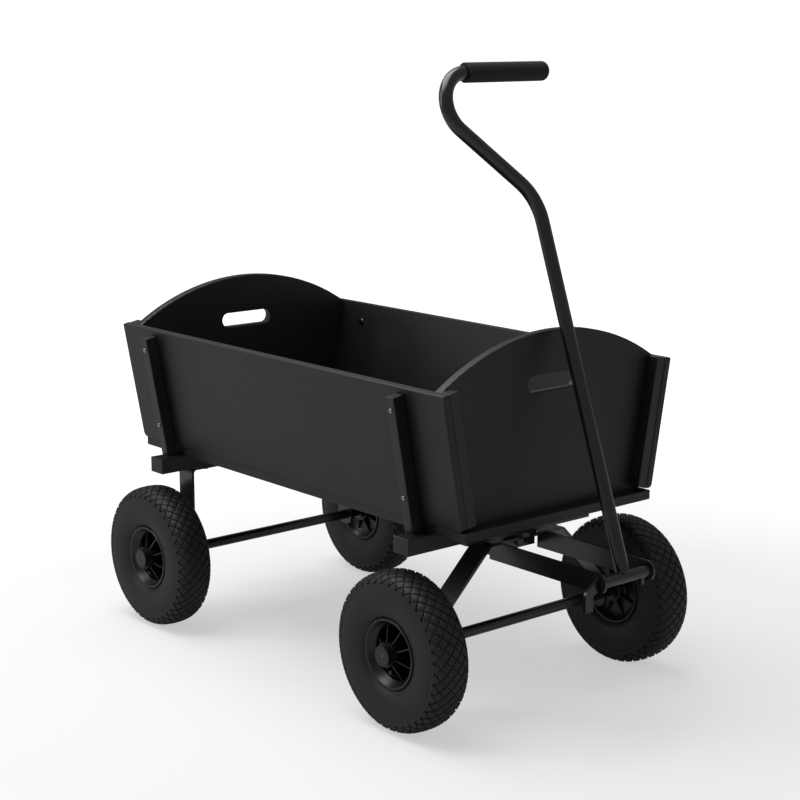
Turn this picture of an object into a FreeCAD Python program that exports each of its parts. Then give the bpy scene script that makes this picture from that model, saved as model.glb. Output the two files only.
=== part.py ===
"""Beach wagon with a pivoting front axle and a folding pull handle, in millimetres.

Frame: +X forward, to the pull handle; +Y to the wagon's left; +Z up.  The origin is on the
ground, under the middle of the whole wagon's box.  Each function makes one kind of piece,
and each piece is written as a solid of its own.
"""
import FreeCAD, Part
import math
import os

V = FreeCAD.Vector
X_AXIS, Y_AXIS, Z_AXIS = V(1, 0, 0), V(0, 1, 0), V(0, 0, 1)
SIDES = {"left": 1, "right": -1}

# Wheels
tyre_d = 280.0              # outer diameter, over the tread
tyre_w = 78.0               # widest part of the sidewalls
track_half = 273.0          # centre line to the middle of a wheel
rear_axle_x = -437.5
front_axle_x = 310.5
bead_r = 56.0               # bead seat, where the tyre holds the rim
flange_r = 62.2
flange_half = 31.0          # half the rim's width over its flanges
flange_t = 4.0
barrel_t = 4.0
shoulder_r = 123.0          # edge of the tread band
shoulder_half = 33.0
crown_drop = 3.0            # how far the tread band curves in at its shoulders
web_t = 5.0
web_offset = -14.0          # the web lies behind the middle, so that the outer face is dished
rib_count = 8
rib_t = 3.0
rib_hub_drop = 3.0          # outer edge of a rib, behind the end of the hub
rib_flange_drop = 12.0      # the same, behind the face of the flange
hub_r = 21.0
hub_in = 30.0               # inner end of the hub, from the middle of the wheel
hub_out = 34.0              # outer end
cap_t = 11.2                # stepped hub cap, beyond the outer end of the hub
cap_steps = 3
cap_step_in = 1.6           # each ring is this much smaller than the one before
cap_dimple_r = 3.0
cap_dimple_t = 2.0

# Axles and running fits
axle_r = 10.0
collar_r = 15.0
collar_t = 6.0
running_gap = 0.06          # radial, shaft in hub
end_gap = 0.5               # end play between a turning piece and its neighbour
seat_gap = 0.05             # radial, shaft held in a bracket

# Wooden box
deck_rear = -545.5
deck_front = 414.5
deck_half = 226.0
deck_top = 358.0
deck_t = 17.0
edge_round = 3.0            # eased edges of the panels
deck_round = 1.0
side_rear = -548.5
side_front = 413.5
side_t = 15.0
side_foot_half = 231.3      # outer face of a side panel, at the deck
side_lean = math.radians(10.33)
side_h = 240.3              # along the slope
side_corner_r = 10.0        # lower corners
end_setback = 23.5          # outer face of an end panel, from the ends of the side panels
end_t = 18.0
joint_gap = 0.3             # end panel to side panel and batten
arch_rise = 78.4
slot_l = 120.0
slot_h = 28.0
slot_z = 582.8
batten_x = 22.0
batten_y = 20.0
batten_drop = 1.0           # top of a batten, below the top of the side panel
batten_foot = 3.0           # foot of a batten, above the deck, along the slope
post_x = 20.0
post_y = 24.0
post_drop = 10.0
bar_round = 1.5

# Bolsters under the deck
bolster_x = 40.0
bolster_h = 30.0
bolster_half = 280.0
rear_bolster_x = -429.5
front_bolster_x = 314.5

# Flat steel of the undercarriage
strap_x = 45.0
strap_t = 5.5
strap_bend = 9.0            # on the middle of the strap
leg_half = 204.0            # middle of a bracket's upright ends
leg_foot = 20.0             # end of a leg, below the axle
leg_corner_r = 18.0
front_plate_top = 297.5
front_plate_half = 88.0     # where the front bracket's legs start to slope
front_leg_knee_z = 181.0    # where they turn upright
knee_bend = 30.0
turntable_half = 150.0      # half the length of the plate under the front bolster

# Kingpin
kingpin_r = 6.0
kingpin_head_r = 15.0
kingpin_head_t = 5.0
washer_r = 30.0
nut_across = 19.0
nut_t = 12.0
kingpin_end = 4.0           # thread showing below the nut

# Drawbar
arm_half = 58.7             # middle of an arm
arm_t = 5.0
arm_h = 34.0
arm_end_r = 15.0
arm_rear = 299.5
pivot_x = 562.5
cross_t = 5.0
pin_r = 6.0
pin_head_r = 10.0
pin_head_t = 4.0
pin_end = 2.0               # pin beyond the right arm, up to the lever
lever_t = 6.0
lever_w = 18.0
lever_out = 22.0            # how far the lever goes outwards
lever_slope = math.radians(31)
lever_drop = 31.0
lever_bend = 10.0

# Handle
pivot_tube_r = 10.5
handle_r = 12.0
handle_lean = 0.342         # backwards, from upright
shaft_l = 655.0             # pivot to the first corner
offset_l = 877.0            # pivot to the line of the grip, along the shaft
offset_y = -246.0           # second corner, to the right of the shaft
first_bend = 95.0
second_bend = 56.0
grip_r = 17.0
grip_start = -100.0
grip_end = 87.0
grip_wall_end = 7.0         # foam beyond the end of the tube
grip_round = 9.0
stop_w = 8.0
stop_t = 6.0
stop_l = 22.0
stop_y = 44.0

# Worked out from the sizes above
axle_z = tyre_d / 2
deck_under = deck_top - deck_t
bolster_under = deck_under - bolster_h
front_plate_under = front_plate_top - strap_t
pivot_z = front_plate_under - arm_h / 2
turntable_under = bolster_under - strap_t
front_panel_x = side_front - end_setback
rear_panel_x = side_rear + end_setback


def side_y(z):
    """Outer face of the left side panel at height z."""
    return side_foot_half + (z - deck_top) * math.tan(side_lean)


def inner_y(z):
    """Inner face of the left side panel at height z."""
    return side_y(z) - side_t / math.cos(side_lean)


side_top = deck_top + side_h * math.cos(side_lean)


def box(x0, x1, y0, y1, z0, z1):
    return Part.makeBox(x1 - x0, y1 - y0, z1 - z0, V(x0, y0, z0))


def cylinder(radius, start, direction, length):
    return Part.makeCylinder(radius, length, start, direction)


def mirrored(shape, side):
    """The left piece as it is, or its mirror image for the right."""
    return shape if SIDES[side] > 0 else shape.mirror(V(0, 0, 0), Y_AXIS)


def eased(shape, radius, chosen=lambda edge: True):
    return shape.makeFillet(radius, [edge for edge in shape.Edges if chosen(edge)])


def rounded_path(points, radii):
    """A wire of straight runs joined by tangent arcs, one radius for each inner point."""
    edges, start = [], points[0]
    for i, radius in enumerate(radii):
        corner = points[i + 1]
        back = (points[i] - corner).normalize()
        ahead = (points[i + 2] - corner).normalize()
        half = back.getAngle(ahead) / 2
        reach = radius / math.tan(half)
        bisector = (back + ahead).normalize()
        centre = corner + bisector * (radius / math.sin(half))
        first, last = corner + back * reach, corner + ahead * reach
        edges.append(Part.LineSegment(start, first).toShape())
        edges.append(Part.Arc(first, centre - bisector * radius, last).toShape())
        start = last
    edges.append(Part.LineSegment(start, points[-1]).toShape())
    return Part.Wire(edges)


def swept(path, profile):
    return path.makePipeShell([profile], True, True)


def round_bar(points, radii, radius):
    """A round bar bent along the points."""
    circle = Part.Circle(points[0], points[1] - points[0], radius)
    return swept(rounded_path(points, radii), Part.Wire([circle.toShape()]))


def flat_bar(points, radii, thickness, x0, x1):
    """A strap bent in a plane across the wagon, between x0 and x1."""
    run = (points[1] - points[0]).normalize()
    out = run.cross(X_AXIS) * (thickness / 2)
    middle = V(0, points[0].y, points[0].z)
    corners = [middle + out + V(x0, 0, 0), middle + out + V(x1, 0, 0),
               middle - out + V(x1, 0, 0), middle - out + V(x0, 0, 0)]
    path = rounded_path([V((x0 + x1) / 2, p.y, p.z) for p in points], radii)
    return swept(path, Part.makePolygon(corners + [corners[0]]))


def revolved(profile):
    """A wheel piece from (y, r) corners, turned about the Y axis."""
    corners = [V(r, y, 0) for y, r in profile]
    face = Part.Face(Part.makePolygon(corners + [corners[0]]))
    return face.revolve(V(0, 0, 0), Y_AXIS, 360)


# ---------------------------------------------------------------- wheels

def tyre():
    """Solid ring with bulging sidewalls and a flatter tread band."""
    crown_r = tyre_d / 2
    seat_half = flange_half - flange_t
    edge_r = crown_r - crown_drop
    lip_r = flange_r + joint_gap
    half = [V(lip_r, seat_half, 0), V((lip_r + shoulder_r) / 2 + 2, tyre_w / 2, 0),
            V(shoulder_r, shoulder_half + 3, 0)]
    wall = Part.Arc(*half).toShape()
    other = Part.Arc(*[V(p.x, -p.y, 0) for p in half]).toShape()
    tread_edge = V(edge_r, shoulder_half, 0)
    tread = Part.Arc(tread_edge, V(crown_r, 0, 0), V(edge_r, -shoulder_half, 0)).toShape()
    shoulder = Part.LineSegment(half[2], tread_edge).toShape()
    far_shoulder = Part.LineSegment(V(half[2].x, -half[2].y, 0), V(edge_r, -shoulder_half, 0)).toShape()
    seat = Part.makePolygon([half[0], V(bead_r, seat_half, 0), V(bead_r, -seat_half, 0),
                             V(lip_r, -seat_half, 0)])
    outline = Part.Wire(Part.__sortEdges__([wall, shoulder, tread, far_shoulder, other] + seat.Edges))
    return Part.Face(outline).revolve(V(0, 0, 0), Y_AXIS, 360)


def rim():
    """Moulded rim: barrel with two flanges, dished web, radial ribs and a hub."""
    seat_half = flange_half - flange_t
    inner_r = bead_r - barrel_t
    body = revolved([(-flange_half, inner_r), (-flange_half, flange_r), (-seat_half, flange_r),
                     (-seat_half, bead_r), (seat_half, bead_r), (seat_half, flange_r),
                     (flange_half, flange_r), (flange_half, inner_r)])
    hub = cylinder(hub_r, V(0, -hub_in, 0), Y_AXIS, hub_in + hub_out)
    web = cylinder(bead_r - barrel_t / 2, V(0, web_offset - web_t / 2, 0), Y_AXIS, web_t)
    body = body.fuse([hub, web])
    rib_r = bead_r - barrel_t / 2
    outline = [V(0, web_offset, 0), V(0, hub_out - rib_hub_drop, 0),
               V(hub_r, hub_out - rib_hub_drop, 0), V(rib_r, flange_half - rib_flange_drop, 0),
               V(rib_r, web_offset, 0)]
    rib = Part.Face(Part.makePolygon(outline + [outline[0]])).extrude(V(0, 0, rib_t))
    rib.translate(V(0, 0, -rib_t / 2))
    for i in range(rib_count):
        one = rib.copy()
        one.rotate(V(0, 0, 0), Y_AXIS, i * 360 / rib_count)
        body = body.fuse(one)
    bore = cylinder(axle_r + running_gap, V(0, -hub_in, 0), Y_AXIS, hub_in + hub_out)
    return body.cut(bore).removeSplitter()


def hub_cap():
    """Stepped round cap on the end of the hub, with a small dimple in its middle."""
    step = cap_t / cap_steps
    cap = cylinder(hub_r, V(0, hub_out, 0), Y_AXIS, step)
    for i in range(1, cap_steps):
        ring_r = hub_r - i * cap_step_in
        cap = cap.fuse(cylinder(ring_r, V(0, hub_out + i * step, 0), Y_AXIS, step))
    dimple = cylinder(cap_dimple_r, V(0, hub_out + cap_t - cap_dimple_t, 0), Y_AXIS, cap_dimple_t)
    return cap.cut(dimple)


def wheel_piece(make, side, axle_x):
    piece = make()
    piece.translate(V(axle_x, track_half, axle_z))
    return mirrored(piece, side)


def axle(axle_x):
    """Straight round axle, with a collar behind each hub."""
    half = track_half + hub_out - end_gap
    bar = cylinder(axle_r, V(axle_x, -half, axle_z), Y_AXIS, 2 * half)
    collar_face = track_half - hub_in - end_gap
    for sign in SIDES.values():
        bar = bar.fuse(cylinder(collar_r, V(axle_x, sign * collar_face, axle_z),
                                V(0, -sign, 0), collar_t))
    return bar.removeSplitter()


# ---------------------------------------------------------------- wooden box

def deck():
    """Floor board, bored for the kingpin."""
    board = box(deck_rear, deck_front, -deck_half, deck_half, deck_under, deck_top)
    bore = cylinder(kingpin_r + seat_gap, V(front_axle_x, 0, deck_under), Z_AXIS, deck_t)
    return eased(board, deck_round).cut(bore)


def on_slope(shape):
    """Moves a piece from the side panel's own axes (X, outwards, up the slope) to its place."""
    shape.rotate(V(0, 0, 0), X_AXIS, -math.degrees(side_lean))
    shape.translate(V(0, side_foot_half, deck_top))
    return shape


def side_panel(side):
    """Leaning panel with eased edges and two round lower corners."""
    panel = box(side_rear, side_front, -side_t, 0, 0, side_h)
    upright_foot = lambda edge: (edge.BoundBox.YLength > side_t / 2 and edge.BoundBox.ZMax < edge_round)
    panel = eased(panel, side_corner_r, upright_foot)
    panel = on_slope(eased(panel, edge_round))
    panel.translate(V(0, 0, deck_top - panel.BoundBox.ZMin))
    return mirrored(panel, side)


def end_panel(outer_x, outward):
    """Upright board with an arched top and a hand slot, between the two side panels."""
    chord = inner_y(side_top) - joint_gap
    foot = inner_y(deck_top) - joint_gap
    peak = side_top + arch_rise
    arch = Part.Arc(V(0, chord, side_top), V(0, 0, peak), V(0, -chord, side_top)).toShape()
    sides = Part.makePolygon([V(0, -chord, side_top), V(0, -foot, deck_top), V(0, foot, deck_top),
                              V(0, chord, side_top)])
    board = Part.Face(Part.Wire([arch] + sides.Edges)).extrude(V(-outward * end_t, 0, 0))
    round_r = slot_h / 2
    straight = slot_l / 2 - round_r
    deep = -outward * end_t
    slot = box(min(0, deep), max(0, deep), -straight, straight, slot_z - round_r, slot_z + round_r)
    for sign in SIDES.values():
        slot = slot.fuse(cylinder(round_r, V(0, sign * straight, slot_z), V(-outward, 0, 0), end_t))
    board = board.cut(slot.removeSplitter())
    on_face = lambda edge: edge.BoundBox.XLength < edge_round
    above_sides = lambda edge: edge.BoundBox.ZMax > peak - edge_round
    of_slot = lambda edge: edge.BoundBox.ZMin > slot_z - slot_h and edge.BoundBox.ZMax < slot_z + slot_h
    board = eased(board, edge_round, lambda e: on_face(e) and (above_sides(e) or of_slot(e)))
    board.translate(V(outer_x, 0, 0))
    return board


def batten(side, outer_x, outward):
    """Square strip inside the side panel, outside the end panel."""
    near = outer_x + outward * joint_gap
    far = near + outward * batten_x
    inside = -side_t - joint_gap
    strip = box(min(near, far), max(near, far), inside - batten_y, inside,
                batten_foot, side_h - batten_drop)
    return mirrored(on_slope(eased(strip, bar_round)), side)


def post(side, rear_x):
    """Leaning post outside the side panel, standing on the bolster."""
    bar = box(rear_x, rear_x + post_x, joint_gap, joint_gap + post_y, -2 * deck_t, side_h - post_drop)
    bar = on_slope(eased(bar, bar_round))
    below = box(rear_x - post_x, rear_x + 2 * post_x, 0, 2 * bolster_half, 0, deck_under)
    return mirrored(bar.cut(below), side)


def bolster(middle_x, bore_x=None):
    beam = box(middle_x - bolster_x / 2, middle_x + bolster_x / 2, -bolster_half, bolster_half,
               bolster_under, deck_under)
    beam = eased(beam, bar_round)
    if bore_x is not None:
        beam = beam.cut(cylinder(kingpin_r + seat_gap, V(bore_x, 0, bolster_under), Z_AXIS, bolster_h))
    return beam


# ---------------------------------------------------------------- undercarriage

def holed_strap(strap, axle_x):
    """Rounds the two feet of a bracket and bores them for the axle."""
    foot_z = axle_z - leg_foot
    of_foot = lambda edge: (edge.BoundBox.ZMax < foot_z + strap_t
                            and edge.BoundBox.YLength > strap_t / 2
                            and edge.BoundBox.XLength < strap_t)
    strap = eased(strap, leg_corner_r, of_foot)
    return strap.cut(cylinder(axle_r + seat_gap, V(axle_x, -bolster_half, axle_z), Y_AXIS,
                              2 * bolster_half))


def rear_bracket():
    """Strap bent to an upside-down U: flat under the bolster, with two upright legs."""
    top = bolster_under - strap_t / 2
    foot = axle_z - leg_foot
    points = [V(0, -leg_half, foot), V(0, -leg_half, top), V(0, leg_half, top), V(0, leg_half, foot)]
    strap = flat_bar(points, [strap_bend] * 2, strap_t,
                     rear_axle_x - strap_x / 2, rear_axle_x + strap_x / 2)
    return holed_strap(strap, rear_axle_x)


def front_bracket():
    """Strap with a flat top, two sloping legs and upright feet, bored for kingpin and axle."""
    top = front_plate_top - strap_t / 2
    foot = axle_z - leg_foot
    half = [V(0, leg_half, foot), V(0, leg_half, front_leg_knee_z), V(0, front_plate_half, top)]
    points = [V(0, -p.y, p.z) for p in half] + half[::-1]
    radii = [knee_bend, strap_bend, strap_bend, knee_bend]
    strap = flat_bar(points, radii, strap_t, front_axle_x - strap_x / 2, front_axle_x + strap_x / 2)
    strap = holed_strap(strap, front_axle_x)
    bore = cylinder(kingpin_r + running_gap, V(front_axle_x, 0, front_plate_under), Z_AXIS, strap_t)
    return strap.cut(bore)


def turntable_plate():
    """Flat plate under the front bolster that the pivoting axle bears against."""
    plate = box(front_bolster_x - strap_x / 2, front_bolster_x + strap_x / 2,
                -turntable_half, turntable_half, turntable_under, bolster_under)
    return plate.cut(cylinder(kingpin_r + seat_gap, V(front_axle_x, 0, turntable_under), Z_AXIS, strap_t))


def thrust_washer():
    """Thick washer between the two plates, turning with the front axle."""
    depth = turntable_under - end_gap - front_plate_top
    ring = cylinder(washer_r, V(front_axle_x, 0, front_plate_top), Z_AXIS, depth)
    return ring.cut(cylinder(kingpin_r + running_gap, V(front_axle_x, 0, front_plate_top), Z_AXIS, depth))


def kingpin():
    """Bolt down through deck, bolster and both plates, with a low round head on the deck."""
    foot = front_plate_under - end_gap - nut_t - kingpin_end
    bolt = cylinder(kingpin_r, V(front_axle_x, 0, foot), Z_AXIS, deck_top - foot)
    head = cylinder(kingpin_head_r, V(front_axle_x, 0, deck_top), Z_AXIS, kingpin_head_t)
    head = eased(head, kingpin_head_t / 2, lambda edge: edge.BoundBox.ZMin > deck_top + kingpin_head_t / 2)
    return bolt.fuse(head)


def kingpin_nut():
    top = front_plate_under - end_gap
    corner_r = nut_across / 2 / math.cos(math.radians(30))
    turns = [math.radians(60 * i) for i in range(7)]
    outline = Part.makePolygon([V(front_axle_x + corner_r * math.cos(a), corner_r * math.sin(a), top)
                                for a in turns])
    nut = Part.Face(outline).extrude(V(0, 0, -nut_t))
    return nut.cut(cylinder(kingpin_r, V(front_axle_x, 0, top - nut_t), Z_AXIS, nut_t))


def fork_arm(side):
    """Flat bar on edge, welded under the front bracket, with a round end bored for the pin."""
    y0, y1 = arm_half - arm_t / 2, arm_half + arm_t / 2
    arm = box(arm_rear, pivot_x + arm_end_r, y0, y1, pivot_z - arm_h / 2, pivot_z + arm_h / 2)
    arm = eased(arm, arm_end_r, lambda edge: edge.BoundBox.XMin > pivot_x and edge.BoundBox.YLength > arm_t / 2)
    bore = cylinder(pin_r + seat_gap, V(pivot_x, y0, pivot_z), Y_AXIS, arm_t)
    return mirrored(arm.cut(bore), side)


def fork_cross_plate():
    """Upright plate under the front bracket, behind the kingpin nut and the ends of the arms."""
    half = arm_half - arm_t / 2
    rear = front_axle_x - strap_x / 2
    return box(rear, rear + cross_t, -half, half, pivot_z - arm_h / 2 + cross_t, front_plate_under)


def pivot_pin():
    """Pin through both arms and the handle's tube, with a flat head at its left end."""
    reach = arm_half + arm_t / 2
    pin = cylinder(pin_r, V(pivot_x, -reach - pin_end, pivot_z), Y_AXIS, 2 * reach + pin_end)
    return pin.fuse(cylinder(pin_head_r, V(pivot_x, reach, pivot_z), Y_AXIS, pin_head_t))


def pin_lever():
    """Flat lever on the pin's right end, going out and then straight down."""
    start = -arm_half - arm_t / 2 - pin_end
    slope = V(0, -1, -math.tan(lever_slope))
    knee = V(0, start, pivot_z) + slope * lever_out
    points = [V(0, start, pivot_z) - slope * lever_w, knee, knee - V(0, 0, lever_drop)]
    lever = flat_bar(points, [lever_bend], lever_w, pivot_x - lever_t / 2, pivot_x + lever_t / 2)
    return lever.cut(box(pivot_x - lever_w, pivot_x + lever_w, start, 0, 0, 2 * pivot_z))


# ---------------------------------------------------------------- handle

def in_handle(along, y):
    """A point of the handle's plane: along the shaft from the pivot, and across."""
    return V(pivot_x - along * math.sin(handle_lean), y, pivot_z + along * math.cos(handle_lean))


def handle_tube():
    """One bent tube: shaft, sideways offset, and the bar under the grip."""
    points = [in_handle(0, 0), in_handle(shaft_l, 0), in_handle(offset_l, offset_y),
              in_handle(offset_l, grip_end - grip_wall_end)]
    tube = round_bar(points, [first_bend, second_bend], handle_r)
    return tube.cut(cylinder(pivot_tube_r, V(pivot_x, -arm_half, pivot_z), Y_AXIS, 2 * arm_half))


def pivot_tube():
    half = arm_half - arm_t / 2 - end_gap
    start = V(pivot_x, -half, pivot_z)
    tube = cylinder(pivot_tube_r, start, Y_AXIS, 2 * half)
    return tube.cut(cylinder(pin_r + running_gap, start, Y_AXIS, 2 * half))


def handle_grip():
    """Foam sleeve with one round closed end."""
    start, end = in_handle(offset_l, grip_start), in_handle(offset_l, grip_end)
    sleeve = cylinder(grip_r, start, Y_AXIS, grip_end - grip_start)
    sleeve = eased(sleeve, grip_round, lambda edge: edge.BoundBox.YMin > end.y - grip_round)
    return sleeve.cut(cylinder(handle_r + seat_gap, start, Y_AXIS,
                               grip_end - grip_wall_end + seat_gap - grip_start))


def handle_stop():
    """Small lug that hangs from the pivot tube."""
    lug = box(pivot_x - stop_t / 2, pivot_x + stop_t / 2, stop_y - stop_w / 2, stop_y + stop_w / 2,
              pivot_z - stop_l, pivot_z)
    return lug.cut(cylinder(pivot_tube_r, V(pivot_x, 0, pivot_z), Y_AXIS, 2 * stop_y))


# ---------------------------------------------------------------- all pieces

def pieces():
    made = {"deck": deck(),
            "front_panel": end_panel(front_panel_x, 1),
            "rear_panel": end_panel(rear_panel_x, -1),
            "front_bolster": bolster(front_bolster_x, front_axle_x),
            "rear_bolster": bolster(rear_bolster_x),
            "rear_bracket": rear_bracket(),
            "rear_axle": axle(rear_axle_x),
            "turntable_plate": turntable_plate(),
            "kingpin": kingpin(),
            "kingpin_nut": kingpin_nut(),
            "front_bracket": front_bracket(),
            "thrust_washer": thrust_washer(),
            "front_axle": axle(front_axle_x),
            "fork_cross_plate": fork_cross_plate(),
            "pivot_pin": pivot_pin(),
            "pin_lever": pin_lever(),
            "handle_tube": handle_tube(),
            "pivot_tube": pivot_tube(),
            "handle_grip": handle_grip(),
            "handle_stop": handle_stop()}
    ends = {"front": (front_axle_x, front_panel_x, 1, front_bolster_x),
            "rear": (rear_axle_x, rear_panel_x, -1, rear_bolster_x)}
    for side in SIDES:
        made[f"side_panel_{side}"] = side_panel(side)
        made[f"fork_arm_{side}"] = fork_arm(side)
        for end, (axle_x, panel_x, outward, bolster_mid) in ends.items():
            made[f"batten_{end}_{side}"] = batten(side, panel_x, outward)
            made[f"post_{end}_{side}"] = post(side, bolster_mid - bolster_x / 2)
            made[f"tyre_{end}_{side}"] = wheel_piece(tyre, side, axle_x)
            made[f"rim_{end}_{side}"] = wheel_piece(rim, side, axle_x)
            made[f"hub_cap_{end}_{side}"] = wheel_piece(hub_cap, side, axle_x)
    return made


if __name__ == "__main__":
    os.makedirs("parts", exist_ok=True)
    for name, shape in pieces().items():
        shape.exportStep(f"parts/{name}.step")
        print(f"{name:22s} solids {len(shape.Solids)} volume {shape.Volume / 1000:9.1f} cm3"
              f" valid {shape.isValid()}")
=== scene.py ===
# %% [markdown]
# # A black beach wagon
# The wagon's frame, with every part at its real size, is loaded first. It is made of
# boards, steel straps and round bars, and those parts stay as they are and only get
# finishes. What a lathe, a mould or a press gives, such as tyres with tread, ribbed rims
# and bolt heads, is built here. All lengths are in metres, and `MM` turns millimetres
# into them.

# %% Load the frame
import math

import bmesh
import bpy
from mathutils import Matrix, Vector


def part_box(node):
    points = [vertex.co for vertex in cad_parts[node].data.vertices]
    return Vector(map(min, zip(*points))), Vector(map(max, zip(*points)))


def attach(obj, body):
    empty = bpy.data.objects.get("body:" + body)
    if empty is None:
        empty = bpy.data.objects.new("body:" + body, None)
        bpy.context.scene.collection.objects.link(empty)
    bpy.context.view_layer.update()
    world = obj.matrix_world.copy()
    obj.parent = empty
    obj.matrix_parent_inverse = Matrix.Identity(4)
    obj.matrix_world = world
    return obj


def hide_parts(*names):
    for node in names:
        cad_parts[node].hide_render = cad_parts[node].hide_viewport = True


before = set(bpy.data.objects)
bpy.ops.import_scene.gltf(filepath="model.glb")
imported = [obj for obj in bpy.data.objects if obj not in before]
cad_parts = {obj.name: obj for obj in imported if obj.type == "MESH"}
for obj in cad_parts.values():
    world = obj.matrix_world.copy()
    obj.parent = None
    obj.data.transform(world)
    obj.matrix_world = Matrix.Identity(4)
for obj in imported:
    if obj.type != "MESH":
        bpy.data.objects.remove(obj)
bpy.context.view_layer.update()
MM = 0.001

# %% Small helpers
SIDES = {"left": 1, "right": -1}
ENDS = ("front", "rear")


def middle(node):
    """Middle of a part's box at rest."""
    low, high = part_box(node)
    return (Vector(low) + Vector(high)) / 2


def linear(hex_colour):
    """An sRGB hex colour as linear RGBA."""
    parts = [int(hex_colour[i:i + 2], 16) / 255 for i in (1, 3, 5)]
    return tuple(c / 12.92 if c <= 0.04045 else ((c + 0.055) / 1.055) ** 2.4 for c in parts) + (1.0,)


def piece(name, mesh_builder, body, material, smooth=True):
    """A new object from a bmesh, riding on a body."""
    mesh = bpy.data.meshes.new(name)
    mesh_builder.normal_update()
    mesh_builder.to_mesh(mesh)
    mesh_builder.free()
    mesh.materials.append(material)
    if smooth:
        mesh.shade_smooth()
        mesh.set_sharp_from_angle(angle=math.radians(32))
    made = bpy.data.objects.new(name, mesh)
    bpy.context.scene.collection.objects.link(made)
    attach(made, body)
    return made


# %% [markdown]
# ## Finishes
# Nearly everything on this wagon is black, so the finishes are told apart by their gloss
# and grain alone. One function adds a node with its settings and links, and each
# material is named for what the real one is.

# %% One function for nodes
def add(tree, kind, inputs=None, **settings):
    """Adds a node; an input is given a plain value or another node's output."""
    node = tree.nodes.new(kind)
    for key, value in settings.items():
        setattr(node, key, value)
    for key, value in (inputs or {}).items():
        if isinstance(value, bpy.types.NodeSocket):
            tree.links.new(value, node.inputs[key])
        else:
            node.inputs[key].default_value = value
    return node


def surface(name, colour, roughness, ior=1.5, **more):
    """A material with its shader, and the shader's node tree to add detail to."""
    material = bpy.data.materials.new(name)
    material.use_nodes = True
    tree = material.node_tree
    shader = tree.nodes["Principled BSDF"]
    shader.inputs["Base Color"].default_value = linear(colour)
    shader.inputs["Roughness"].default_value = roughness
    shader.inputs["IOR"].default_value = ior
    for key, value in more.items():
        shader.inputs[key.replace("_", " ").title()].default_value = value
    return material, tree, shader


def grained(tree, shader, grain, height, stretch=(1, 1, 1), detail=3.0):
    """Bump from noise whose grains are about `grain` metres across."""
    place = add(tree, "ShaderNodeTexCoord")
    spread = add(tree, "ShaderNodeMapping", {"Vector": place.outputs["Object"], "Scale": stretch})
    noise = add(tree, "ShaderNodeTexNoise", {"Vector": spread.outputs["Vector"], "Scale": 1 / grain,
                                             "Detail": detail, "Roughness": 0.55})
    bump = add(tree, "ShaderNodeBump", {"Height": noise.outputs["Fac"], "Distance": height,
                                        "Strength": 1.0})
    tree.links.new(bump.outputs["Normal"], shader.inputs["Normal"])
    return noise


def shaded(tree, shader, source, dark, light, low=0.35, high=0.65):
    """Colour between two near tones along a pattern: a random drift, or painted shade in the foam's
    pits.
    """
    ramp = add(tree, "ShaderNodeValToRGB", {"Fac": source})
    ramp.color_ramp.elements[0].color = linear(dark)
    ramp.color_ramp.elements[1].color = linear(light)
    ramp.color_ramp.elements[0].position = low
    ramp.color_ramp.elements[1].position = high
    tree.links.new(ramp.outputs["Color"], shader.inputs["Base Color"])


def rough_between(tree, shader, source, low, high):
    """Roughness that follows a pattern, between two values."""
    spread = add(tree, "ShaderNodeMapRange", {"Value": source, "To Min": low, "To Max": high})
    tree.links.new(spread.outputs["Result"], shader.inputs["Roughness"])


# %% [markdown]
# **Satin paint on plywood.** Black stain-paint is rolled on the boards. It stays a little
# open, so the veneer's grain shows as long, very shallow lines along the board, and the
# gloss drifts softly. The real grain is about 1 mm wide; it is drawn 3 mm wide to show.

# %% Satin paint on plywood
LENGTHWISE, CROSSWISE, UPRIGHT = range(3)       # the axis that a board's grain runs along
VENEER_GRAIN = 3 * MM
GRAIN_HEIGHT = 0.05 * MM


def painted_board(name, along, colours=("#0f0f0f", "#131313"), gloss=(0.42, 0.52)):
    """Black paint over veneer; gloss is the roughness, from the grain's tops to its pores."""
    material, tree, shader = surface(name, colours[0], 0.45)
    stretch = tuple(0.05 if i == along else 1.0 for i in range(3))
    noise = grained(tree, shader, VENEER_GRAIN, GRAIN_HEIGHT, stretch, detail=4.0)
    place = add(tree, "ShaderNodeTexCoord")
    drift = add(tree, "ShaderNodeTexNoise", {"Vector": place.outputs["Object"], "Scale": 9.0,
                                             "Detail": 2.0})
    shaded(tree, shader, drift.outputs["Fac"], *colours)
    rough_between(tree, shader, noise.outputs["Fac"], *gloss)
    return material


board_lengthwise = painted_board("satin_paint_on_plywood_lengthwise", LENGTHWISE)
board_crosswise = painted_board("satin_paint_on_plywood_crosswise", CROSSWISE)
board_upright = painted_board("satin_paint_on_hardwood_upright", UPRIGHT,
                              ("#131313", "#181818"), (0.36, 0.46))

# %% [markdown]
# **Powder coat on steel.** Powder is baked on tubes and straps. It flows out to a
# semi-gloss film with a fine orange peel, about 1.2 mm from bump to bump.

# %% Powder coat on steel
powder_coat, tree, shader = surface("powder_coat_on_steel", "#131313", 0.26, coat_weight=0.35,
                                    coat_roughness=0.18)
noise = grained(tree, shader, 1.2 * MM, 0.012 * MM, detail=2.0)
rough_between(tree, shader, noise.outputs["Fac"], 0.22, 0.30)

# %% [markdown]
# **Zinc plated steel.** The nuts, the kingpin and the pin's lever are plated and
# blackened. The posts' bolt heads and the hub centres keep a brighter plate. Metal shows
# as small, bright glints between dark reflections.

# %% Plating
plated, tree, shader = surface("blackened_zinc_plate", "#4a4a4b", 0.25, metallic=1.0)
noise = grained(tree, shader, 0.8 * MM, 0.01 * MM)
rough_between(tree, shader, noise.outputs["Fac"], 0.20, 0.34)

bright_plate, tree, shader = surface("bright_zinc_plate", "#8f8f91", 0.22, metallic=1.0)
noise = grained(tree, shader, 0.8 * MM, 0.01 * MM)
rough_between(tree, shader, noise.outputs["Fac"], 0.18, 0.30)

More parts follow.
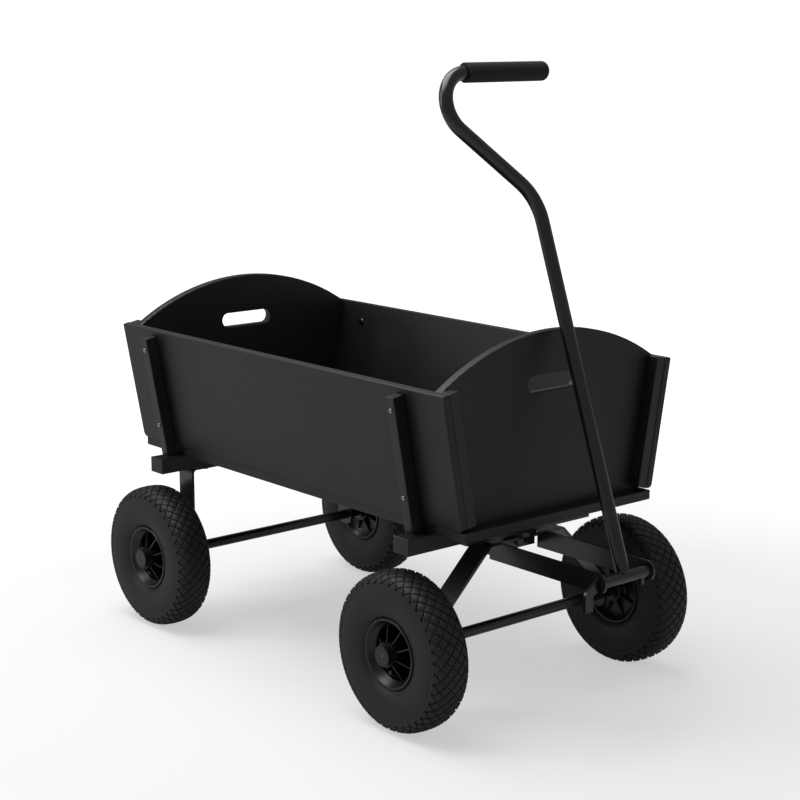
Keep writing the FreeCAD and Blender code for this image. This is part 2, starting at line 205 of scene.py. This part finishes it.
# %% [markdown]
# **Vulcanised rubber.** Carbon-black rubber is matt, with a faint bloom that makes it a
# shade greyer in patches. The grain of the mould is about 0.8 mm.

# %% Vulcanised rubber
rubber, tree, shader = surface("vulcanised_rubber", "#0b0b0b", 0.62, ior=1.52)
noise = grained(tree, shader, 0.8 * MM, 0.02 * MM)
place = add(tree, "ShaderNodeTexCoord")
bloom = add(tree, "ShaderNodeTexNoise", {"Vector": place.outputs["Object"], "Scale": 22.0,
                                         "Detail": 3.0})
shaded(tree, shader, bloom.outputs["Fac"], "#0a0a0a", "#101010")
rough_between(tree, shader, noise.outputs["Fac"], 0.52, 0.64)

# %% [markdown]
# **Moulded polypropylene.** The rims come from a polished mould with a light spark
# texture, so they have a broad, soft highlight.

# %% Moulded polypropylene
polypropylene, tree, shader = surface("moulded_polypropylene", "#0e0e0e", 0.33, ior=1.49)
noise = grained(tree, shader, 0.6 * MM, 0.01 * MM)
rough_between(tree, shader, noise.outputs["Fac"], 0.28, 0.40)

# %% [markdown]
# ** Foamed rubber grip.** Nitrile foam has closed cells of about half a millimetre. They
# are drawn at 1 mm, so that the sleeve shows its grain, and their pits carry painted shade.

# %% Foamed rubber
foam, tree, shader = surface("foamed_nitrile_rubber", "#141414", 0.75, ior=1.5)
place = add(tree, "ShaderNodeTexCoord")
CELL = 1.0 * MM
cells = add(tree, "ShaderNodeTexVoronoi", {"Vector": place.outputs["Object"], "Scale": 1 / CELL})
pores = add(tree, "ShaderNodeBump", {"Height": cells.outputs["Distance"], "Distance": 0.25 * MM,
                                     "Strength": 0.8})
tree.links.new(pores.outputs["Normal"], shader.inputs["Normal"])
# painted shade: each cell is coloured darker towards its middle, where the bump sinks it into a pit
shaded(tree, shader, cells.outputs["Distance"], "#0a0a0a", "#141414", 0.1, 0.7)

# %% Give the frame's parts their finishes
FINISH = {"deck": board_lengthwise, "side_panel": board_lengthwise, "front_panel": board_crosswise,
          "rear_panel": board_crosswise, "batten": board_upright, "post": board_upright,
          "front_bolster": board_crosswise, "rear_bolster": board_crosswise, "kingpin": plated,
          "pivot_pin": plated, "pin_lever": plated, "handle_grip": foam, "hub_cap": polypropylene}
for name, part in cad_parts.items():
    finish = next((FINISH[key] for key in FINISH if name.startswith(key)), powder_coat)
    for slot in part.material_slots:
        slot.material = finish

# %% [markdown]
# ## Turned shapes
# Tyres, rims and bolt heads are all turned from an outline of (outward, radius) points.
# The outline runs round an axle, so one function serves them all.

# %% Turning an outline
def ring_point(outward, radius, angle):
    """A point of a wheel that turns about Y, before it is moved to its axle."""
    return Vector((radius * math.sin(angle), outward, radius * math.cos(angle)))


def turned(outline, segments, closed=True):
    """A bmesh from an outline of (outward, radius) points turned about Y."""
    made = bmesh.new()
    rings = []
    for outward, radius in outline:
        if radius < 1e-6:
            rings.append([made.verts.new((0, outward, 0))])
        else:
            rings.append([made.verts.new(ring_point(outward, radius, 2 * math.pi * k / segments))
                          for k in range(segments)])
    pairs = list(zip(rings, rings[1:] + rings[:1])) if closed else list(zip(rings, rings[1:]))
    for ring, ahead in pairs:
        for k in range(segments):
            corners = []
            for vert in (ring[k % len(ring)], ring[(k + 1) % len(ring)],
                         ahead[(k + 1) % len(ahead)], ahead[k % len(ahead)]):
                if vert not in corners:
                    corners.append(vert)
            if len(corners) > 2:
                made.faces.new(corners)
    bmesh.ops.recalc_face_normals(made, faces=made.faces)
    return made


def curve(points, steps):
    """Points along a Bezier of any degree."""
    made = []
    for k in range(steps + 1):
        line, t = [Vector(p) for p in points], k / steps
        while len(line) > 1:
            line = [a.lerp(b, t) for a, b in zip(line, line[1:])]
        made.append(tuple(line[0]))
    return made


# %% [markdown]
# ## Tyres
# The tread of a wagon tyre is a net of shallow grooves that cross at about 45 degrees
# and leave diamond blocks. A grid pushed in by a pattern would give ragged edges, so each
# block is built as its own little pyramid stump on the carcass. The blocks stand in rows
# round the tyre, and every second row is shifted by half a block.

# %% Tyre sizes
TYRE_R = 140 * MM
TYRE_SEGMENTS = 180
TREAD_COUNT = 42            # grooves of one hand, round the tyre
GROOVE = 2.3 * MM
GROOVE_DEPTH = 2.4 * MM
ROOT = 1.15                 # a block's foot is this much deeper, so that no gap shows under it
EASE = 0.25 * MM            # how far a block's edge lies below its top
CROWN = 0.90                # flat top of a block, as a share of its outline
SMALLEST = 2 * MM           # a block cut narrower than this at the shoulder is left out
ROW = 2 * math.pi * TYRE_R / TREAD_COUNT
SHOULDER = [(0, 140), (19, 140), (34.5, 137.5), (36.8, 122.5)]       # in millimetres
TREAD_HALF = 45 * MM        # along the surface, from the middle to the shoulder line

tread_curve = [Vector((a * MM, b * MM)) for a, b in curve(SHOULDER, 64)]
lengths = [0.0]
for here, there in zip(tread_curve, tread_curve[1:]):
    lengths.append(lengths[-1] + (there - here).length)
print("tread, middle to shoulder:", round(lengths[-1] / MM, 1), "mm")


def tread_point(across, depth):
    """(outward, radius) of the tread at a distance along its surface, sunk by depth."""
    along = min(abs(across) * lengths[-1] / TREAD_HALF, lengths[-1] * 0.9999)
    k = next(i for i, total in enumerate(lengths) if total > along) - 1
    t = (along - lengths[k]) / (lengths[k + 1] - lengths[k])
    here = tread_curve[k].lerp(tread_curve[k + 1], t)
    run = (tread_curve[k + 1] - tread_curve[k]).normalized()
    sunk = here - Vector((-run.y, run.x)) * depth
    return math.copysign(sunk.x, across), sunk.y


def clipped(shape, limit):
    """The part of a polygon of (angle, across) points that lies within the tread."""
    for sign in (1, -1):
        kept = []
        for a, b in zip(shape, shape[1:] + shape[:1]):
            inside_a, inside_b = sign * a[1] <= limit, sign * b[1] <= limit
            if inside_a:
                kept.append(a)
            if inside_a != inside_b:
                t = (sign * limit - a[1]) / (b[1] - a[1])
                kept.append((a[0] + (b[0] - a[0]) * t, sign * limit))
        shape = kept
        if not shape:
            break
    return shape


def add_block(made, shape):
    """One tread block: a crowned top on sloping walls."""
    angle = sum(p[0] for p in shape) / len(shape)
    across = sum(p[1] for p in shape) / len(shape)
    low = [made.verts.new(ring_point(*tread_point(v, GROOVE_DEPTH * ROOT), a)) for a, v in shape]
    edge = [made.verts.new(ring_point(*tread_point(v, EASE), a)) for a, v in shape]
    top = [made.verts.new(ring_point(*tread_point(across + (v - across) * CROWN, 0.0),
                                     angle + (a - angle) * CROWN)) for a, v in shape]
    crown = made.verts.new(ring_point(*tread_point(across, 0.0), angle))
    count = len(shape)
    for k in range(count):
        n = (k + 1) % count
        made.faces.new((low[k], low[n], edge[n], edge[k]))
        made.faces.new((edge[k], edge[n], top[n], top[k]))
        made.faces.new((top[k], top[n], crown))
    made.faces.new(low[::-1])


def carcass():
    """Sidewalls, bead and groove floor, turned from one outline."""
    floor = [tread_point(TREAD_HALF * k / 12, GROOVE_DEPTH) for k in range(-12, 13)]
    wall = [(36.9, 122.6), (37.3, 121.6), (37.4, 119.8), (36.9, 118.6)]
    wall += curve([(36.9, 118.6), (40.6, 104), (39.4, 84), (34, 72)], 12)[1:]
    wall += [(33.2, 70.8), (33.3, 69.6), (32.4, 68.6), (30.6, 66.2), (28.4, 63.4), (27, 62.5),
             (27, 56)]
    wall = [(a * MM, b * MM) for a, b in wall]
    return floor + wall + [(-a, b) for a, b in wall[::-1]]


def tyre_mesh():
    """Carcass with its net of tread blocks."""
    made = turned(carcass(), TYRE_SEGMENTS)
    step = 2 * math.pi / TREAD_COUNT
    gap = GROOVE / ROW / math.sqrt(2)
    rows = math.ceil(TREAD_HALF / ROW) + 1
    reach = 0.5 - gap
    corners = [(reach, 0), (0, reach), (-reach, 0), (0, -reach)]
    for q in range(TREAD_COUNT):
        for r in range(-rows, rows + 1):
            for shift in (0, 0.5):
                shape = [((q + shift + a) * step, (r + shift + b) * ROW) for a, b in corners]
                shape = clipped(shape, TREAD_HALF)
                widths = [v for _, v in shape]
                if len(shape) > 2 and max(widths) - min(widths) > SMALLEST:
                    add_block(made, shape)
    bmesh.ops.recalc_face_normals(made, faces=made.faces)
    return made


# %% [markdown]
# ## Rims
# A moulded rim is a barrel with a rolled lip and a cone at each mouth, a web, and thin
# ribs that fall from the hub to the foot of the cone. The lip catches the brightest light
# on the wheel, so its round is made with real points. Outlines are in millimetres.

# %% Rim shapes
RIM_BARREL = [(27, 61), (28, 62.1), (29.6, 62.2), (30.8, 61.4), (31, 59.6), (30.4, 57.8), (29, 56.8),
              (26, 54.6), (19, 49.6), (17.6, 48.0), (16, 47.4), (-9, 46.6)]
HUB_R = 21.0
BARREL_R = 48.0             # where the ribs end, inside the barrel's wall
RIM_SEGMENTS = 96


def rim_mesh():
    """Barrel, web and hub, turned as one, with ribs added on both faces."""
    web_out, web_in = -11.5, -16.5
    hub = [(web_out, 23.5), (web_out + 2, 21.8), (16, HUB_R), (32.8, 20.4), (34, 19.4), (34, 12)]
    back = [(-30, 12), (-30, 19.5), (-29, HUB_R), (web_in - 2, 21.8), (web_in, 23.5)]
    inner = [(web_in, 45.6), (-18, 47.6)] + [(-a, b) for a, b in RIM_BARREL[:9][::-1]]
    seat = [(-27, 56), (27, 56)]
    outline = RIM_BARREL + [(web_out, 45.6)] + hub + back + inner + seat
    made = turned([(a * MM, b * MM) for a, b in outline], RIM_SEGMENTS)
    add_ribs(made, (web_out, 29.0, 16.5), 1)
    add_ribs(made, (web_in, -26.5, -19.5), -1)
    return made


def add_ribs(made, levels, sign, count=8, thick=2.8, rounding=0.7):
    """Thin ribs from hub to barrel with narrowed edges; levels are web, hub and barrel."""
    web, at_hub, at_barrel = levels
    for k in range(count):
        angle = 2 * math.pi * k / count + math.pi / count
        across = Vector((math.cos(angle), 0, -math.sin(angle)))
        sections = []
        for radius, level in ((HUB_R - 1.5, at_hub), (BARREL_R, at_barrel)):
            base = ring_point(0, radius * MM, angle)
            section = []
            for side, height in ((-thick / 2 - 0.4, web), (-thick / 2, level - sign * rounding),
                                 (-thick / 2 + rounding, level), (thick / 2 - rounding, level),
                                 (thick / 2, level - sign * rounding), (thick / 2 + 0.4, web)):
                section.append(made.verts.new(base + across * side * MM + Vector((0, height * MM, 0))))
            sections.append(section)
        faces = [made.faces.new((a, b, c, d)) for a, b, c, d in
                 zip(sections[0], sections[0][1:] + sections[0][:1],
                     sections[1][1:] + sections[1][:1], sections[1])]
        faces += [made.faces.new(sections[0]), made.faces.new(sections[1][::-1])]
        bmesh.ops.recalc_face_normals(made, faces=faces)


def valve_mesh():
    """Rubber valve stem with a ribbed cap, standing inwards from the rim's barrel."""
    outline = [(0, 0), (0, 5.5), (6, 4.6), (16, 3.6), (17, 4.3), (27, 4.1), (28, 3.4), (28, 0)]
    return turned([(a * MM, b * MM) for a, b in outline], 20, closed=False)


def hub_centre_mesh():
    """Domed end of the axle, in the dimple of the hub cap."""
    outline = [(0, 2.6), (0.9, 2.4), (1.5, 1.4), (1.7, 0)]
    return turned([(a * MM, b * MM) for a, b in outline], 24, closed=False)


# %% Wheels
VALVE_TILT = math.radians(28)
VALVE_FOOT = Vector((0, 2, -46)) * MM
HUB_FACE = 43.2 * MM        # floor of the hub cap's dimple, from the middle of the wheel


def placed(made, position, sign):
    """Moves a wheel piece to its axle, mirrored for the right side."""
    if sign < 0:
        bmesh.ops.scale(made, vec=(1, -1, 1), verts=made.verts)
        bmesh.ops.reverse_faces(made, faces=made.faces)
    bmesh.ops.translate(made, vec=position, verts=made.verts)
    return made


for end in ENDS:
    for side, sign in SIDES.items():
        body = f"wheel_{end}_{side}"
        centre = middle(f"tyre_{end}_{side}")
        tyre = piece(f"tread_tyre_{end}_{side}", placed(tyre_mesh(), centre, sign), body,
                     rubber)
        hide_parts(f"tyre_{end}_{side}")
        rim = piece(f"ribbed_rim_{end}_{side}", placed(rim_mesh(), centre, sign), body,
                    polypropylene)
        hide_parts(f"rim_{end}_{side}")
        valve = valve_mesh()
        tilt = Matrix.Rotation(VALVE_TILT, 3, "X")
        bmesh.ops.rotate(valve, cent=(0, 0, 0), matrix=tilt, verts=valve.verts)
        bmesh.ops.translate(valve, vec=VALVE_FOOT, verts=valve.verts)
        piece(f"valve_{end}_{side}", placed(valve, centre, sign), body, rubber)
        face = Vector((centre.x, centre.y + sign * HUB_FACE, centre.z))
        piece(f"hub_centre_{end}_{side}", placed(hub_centre_mesh(), face, sign), body,
              bright_plate)
print("tyre faces:", len(tyre.data.polygons))

# %% [markdown]
# ## Bolts
# Each post is held by two round-headed carriage bolts, whose heads are pressed domes.
# Their nuts and washers sit on the inside of the box. The steel straps are held under the
# bolsters by hexagon bolts.

# %% Bolt shapes
WASHER_T = 1.2 * MM


def aimed(made, position, direction):
    """Turns a piece that was turned about +Y to point along a direction."""
    turn = Vector((0, 1, 0)).rotation_difference(Vector(direction)).to_matrix()
    bmesh.ops.rotate(made, cent=(0, 0, 0), matrix=turn, verts=made.verts)
    bmesh.ops.translate(made, vec=position, verts=made.verts)
    return made


def dome_head(radius, height):
    """A pressed dome on a short rim."""
    outline = [(0, radius), (0.2 * height, radius)]
    outline += [(height * (0.2 + 0.8 * math.sin(a)), radius * math.cos(a))
                for a in (math.radians(15 * k) for k in range(1, 6))]
    return turned(outline + [(height, 0)], 32, closed=False)


def hexagon(across, height):
    """Hexagon head on a washer, with its corners eased."""
    corner = across / 2 / math.cos(math.radians(30))
    washer = [(0, 0), (0, corner * 1.25), (WASHER_T, corner * 1.25), (WASHER_T, 0)]
    made = turned(washer, 32, closed=False)
    sides = [(WASHER_T, 0), (WASHER_T, corner), (height * 0.8, corner), (height, corner * 0.86),
             (height, 0)]
    head = turned(sides, 6, closed=False)
    loose = bpy.data.meshes.new("head")
    head.to_mesh(loose)
    head.free()
    made.from_mesh(loose)
    bpy.data.meshes.remove(loose)
    return made


# %% Bolts on the posts
lean = math.radians(10.33)                      # of the side panels and posts
BOLT_HEIGHTS = (557 * MM, 404 * MM)
BOLT_R, BOLT_RISE = 4.6 * MM, 3.2 * MM
NUT_R, NUT_RISE = 7 * MM, 4 * MM
SIDE_FOOT = 231.3 * MM                          # outer face of a side panel at the deck
SIDE_T = 15 * MM
POST_OUT = 24.3 * MM                            # a post's thickness and the gap behind it
post_face = SIDE_FOOT + POST_OUT / math.cos(lean)
deck_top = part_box("deck")[1][2]
for end in ENDS:
    for side, sign in SIDES.items():
        bolt_x = middle(f"post_{end}_{side}").x
        for k, height in enumerate(BOLT_HEIGHTS):
            out = Vector((0, sign * math.cos(lean), -math.sin(lean)))
            y = sign * (post_face + (height - deck_top) * math.tan(lean))
            head = aimed(dome_head(BOLT_R, BOLT_RISE), (bolt_x, y, height), out)
            piece(f"post_bolt_{end}_{side}_{k}", head, "wagon_box", bright_plate)
            inside = y - sign * (POST_OUT + SIDE_T) / math.cos(lean)
            nut = aimed(dome_head(NUT_R, NUT_RISE), (bolt_x, inside, height), -out)
            piece(f"post_nut_{end}_{side}_{k}", nut, "wagon_box", plated)

# %% Bolts under the bolsters
STRAP_T = 5.5 * MM
HEX_ACROSS, HEX_RISE = 13 * MM, 6 * MM          # an M8 bolt
STRAP_BOLTS = (70 * MM, 160 * MM)               # from the middle of the wagon
PLATE_BOLT = 130 * MM                           # the same
rear_x = middle("rear_bracket").x
under_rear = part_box("rear_bracket")[1][2] - STRAP_T
turn_x = middle("turntable_plate").x
under_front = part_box("turntable_plate")[0][2]
for side, sign in SIDES.items():
    for k, y in enumerate(STRAP_BOLTS):
        head = aimed(hexagon(HEX_ACROSS, HEX_RISE), (rear_x, sign * y, under_rear), (0, 0, -1))
        piece(f"rear_strap_bolt_{side}_{k}", head, "wagon_box", plated, smooth=False)
    head = aimed(dome_head(NUT_R, 3 * MM), (turn_x, sign * PLATE_BOLT, under_front), (0, 0, -1))
    piece(f"turntable_bolt_{side}", head, "wagon_box", plated)

# %% [markdown]
# ## Welds and the grip's end
# The shaft is welded to the short tube it turns on. A weld bead is a row of overlapping
# scales, made here as a ring with a rippled thickness. The foam sleeve starts with a
# rolled rim.

# %% Weld and grip ring
WELD_R, WELD_T = 12.2 * MM, 1.5 * MM
WELD_SCALES = 22
WELD_UP = 8.5 * MM          # along the shaft, from the pivot
COLLAR = [(0, 12.1), (0, 16.2), (1, 17), (4, 17), (4.6, 16.6), (4.6, 12.1)]     # in millimetres


def rippled_ring(radius, thick, ripples, segments=120, sides=8):
    """A closed ring about Z whose thickness swells and shrinks round its length."""
    made = bmesh.new()
    loops = []
    for k in range(segments):
        a = 2 * math.pi * k / segments
        t = thick * (1 + 0.22 * math.sin(ripples * a))
        centre = Vector((radius * math.cos(a), radius * math.sin(a), 0))
        out = centre.normalized()
        loops.append([made.verts.new(centre + out * t * math.cos(b) + Vector((0, 0, t * math.sin(b))))
                      for b in (2 * math.pi * s / sides for s in range(sides))])
    for here, there in zip(loops, loops[1:] + loops[:1]):
        for s in range(sides):
            n = (s + 1) % sides
            made.faces.new((here[s], there[s], there[n], here[n]))
    bmesh.ops.recalc_face_normals(made, faces=made.faces)
    return made


pivot = middle("pivot_tube")
handle_lean = 0.342         # backwards from upright, in radians
shaft = Vector((-math.sin(handle_lean), 0, math.cos(handle_lean)))
bead = rippled_ring(WELD_R, WELD_T, WELD_SCALES)
turn = Vector((0, 0, 1)).rotation_difference(shaft).to_matrix()
bmesh.ops.rotate(bead, cent=(0, 0, 0), matrix=turn, verts=bead.verts)
bmesh.ops.translate(bead, vec=pivot + shaft * WELD_UP, verts=bead.verts)
piece("shaft_weld", bead, "pull_handle", powder_coat)

grip_mid = middle("handle_grip")
collar_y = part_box("handle_grip")[0][1] - 1 * MM
collar = turned([(a * MM, b * MM) for a, b in COLLAR], 48)
bmesh.ops.translate(collar, vec=(grip_mid.x, collar_y, grip_mid.z), verts=collar.verts)
piece("grip_collar", collar, "pull_handle", foam)

# %% [markdown]
# ## Floor, light and camera
# The wagon stands on a white sweep under one wide soft light, with a weaker one at its
# right. The floor glows to the camera, fully from 2.4 m out, so that it runs into the
# white background, and less near the wagon, where it keeps the shadow. Gloss shows a
# fifth of that glow, and matt surfaces none, so it adds no light to the black paint.

# %% Floor and world
SHADE_R, WHITE_R = 0.9, 2.4         # the glow rises between these distances, in metres
NEAR_GLOW = 0.52
GLOSS_SHARE = 0.2
SKY = 0.26                          # how much light the room gives
scene = bpy.context.scene
scene.view_settings.view_transform = "Standard"

floor_builder = bmesh.new()
bmesh.ops.create_grid(floor_builder, x_segments=1, y_segments=1, size=30)
floor_mesh = bpy.data.meshes.new("floor")
floor_builder.to_mesh(floor_mesh)
floor_builder.free()
floor = bpy.data.objects.new("floor", floor_mesh)
scene.collection.objects.link(floor)

white_floor = bpy.data.materials.new("white_studio_floor")
white_floor.use_nodes = True
tree = white_floor.node_tree
tree.nodes.clear()
path = add(tree, "ShaderNodeLightPath")
mirrored = add(tree, "ShaderNodeMath", {0: path.outputs["Is Glossy Ray"], 1: GLOSS_SHARE},
               operation="MULTIPLY")
seen = add(tree, "ShaderNodeMath", {0: path.outputs["Is Camera Ray"], 1: mirrored.outputs[0]},
           operation="ADD", use_clamp=True)
place = add(tree, "ShaderNodeTexCoord")
away = add(tree, "ShaderNodeVectorMath", {0: place.outputs["Object"]}, operation="LENGTH")
glare = add(tree, "ShaderNodeMapRange", {"Value": away.outputs["Value"], "From Min": SHADE_R,
                                         "From Max": WHITE_R, "To Min": NEAR_GLOW, "To Max": 1.0})
lift = add(tree, "ShaderNodeMath", {0: seen.outputs[0], 1: glare.outputs["Result"]},
           operation="MULTIPLY")
matt = add(tree, "ShaderNodeBsdfDiffuse", {"Color": linear("#b4b4b4")})
glow = add(tree, "ShaderNodeEmission", {"Color": (1, 1, 1, 1), "Strength": lift.outputs[0]})
both = add(tree, "ShaderNodeAddShader", {0: matt.outputs[0], 1: glow.outputs[0]})
add(tree, "ShaderNodeOutputMaterial", {"Surface": both.outputs[0]})
floor_mesh.materials.append(white_floor)

world = bpy.data.worlds.new("studio")
scene.world = world
world.use_nodes = True
tree = world.node_tree
tree.nodes.clear()
path = add(tree, "ShaderNodeLightPath")
seen = add(tree, "ShaderNodeMath", {0: path.outputs["Is Camera Ray"],
                                    1: path.outputs["Is Transmission Ray"]},
           operation="ADD", use_clamp=True)
strength = add(tree, "ShaderNodeMapRange", {"Value": seen.outputs[0], "To Min": SKY, "To Max": 1.0})
sky = add(tree, "ShaderNodeBackground", {"Color": (1, 1, 1, 1), "Strength": strength.outputs[0]})
add(tree, "ShaderNodeOutputWorld", {"Surface": sky.outputs[0]})


# %% Lamps
def soft_lamp(name, position, target, size, watts):
    """A rectangular lamp that faces a target."""
    lamp = bpy.data.lights.new(name, "AREA")
    lamp.shape = "RECTANGLE"
    lamp.size, lamp.size_y = size
    lamp.energy = watts
    made = bpy.data.objects.new(name, lamp)
    made.location = position
    made.rotation_euler = (Vector(target) - Vector(position)).to_track_quat("-Z", "Y").to_euler()
    scene.collection.objects.link(made)


soft_lamp("overhead", (-0.7, -0.5, 3.2), (0.1, 0.1, 0.3), (2.6, 2.6), 85)
soft_lamp("right_side", (-2.2, -2.6, 2.0), (0.1, 0, 0.6), (0.7, 2.2), 22)

# %% Camera
CAMERA_DISTANCE = 3.4295
target = Vector((-16.65, 0.7, 485.7)) * MM
azimuth, elevation = math.radians(49.617), math.radians(11.688)
back = Vector((math.sin(azimuth) * math.cos(elevation), -math.cos(azimuth) * math.cos(elevation),
               math.sin(elevation)))
camera_data = bpy.data.cameras.new("camera")
camera_data.sensor_width = 36.0
camera_data.lens = 81.76
camera = bpy.data.objects.new("camera", camera_data)
camera.location = target + back * CAMERA_DISTANCE
camera.rotation_euler = back.to_track_quat("Z", "Y").to_euler()
scene.collection.objects.link(camera)
scene.camera = camera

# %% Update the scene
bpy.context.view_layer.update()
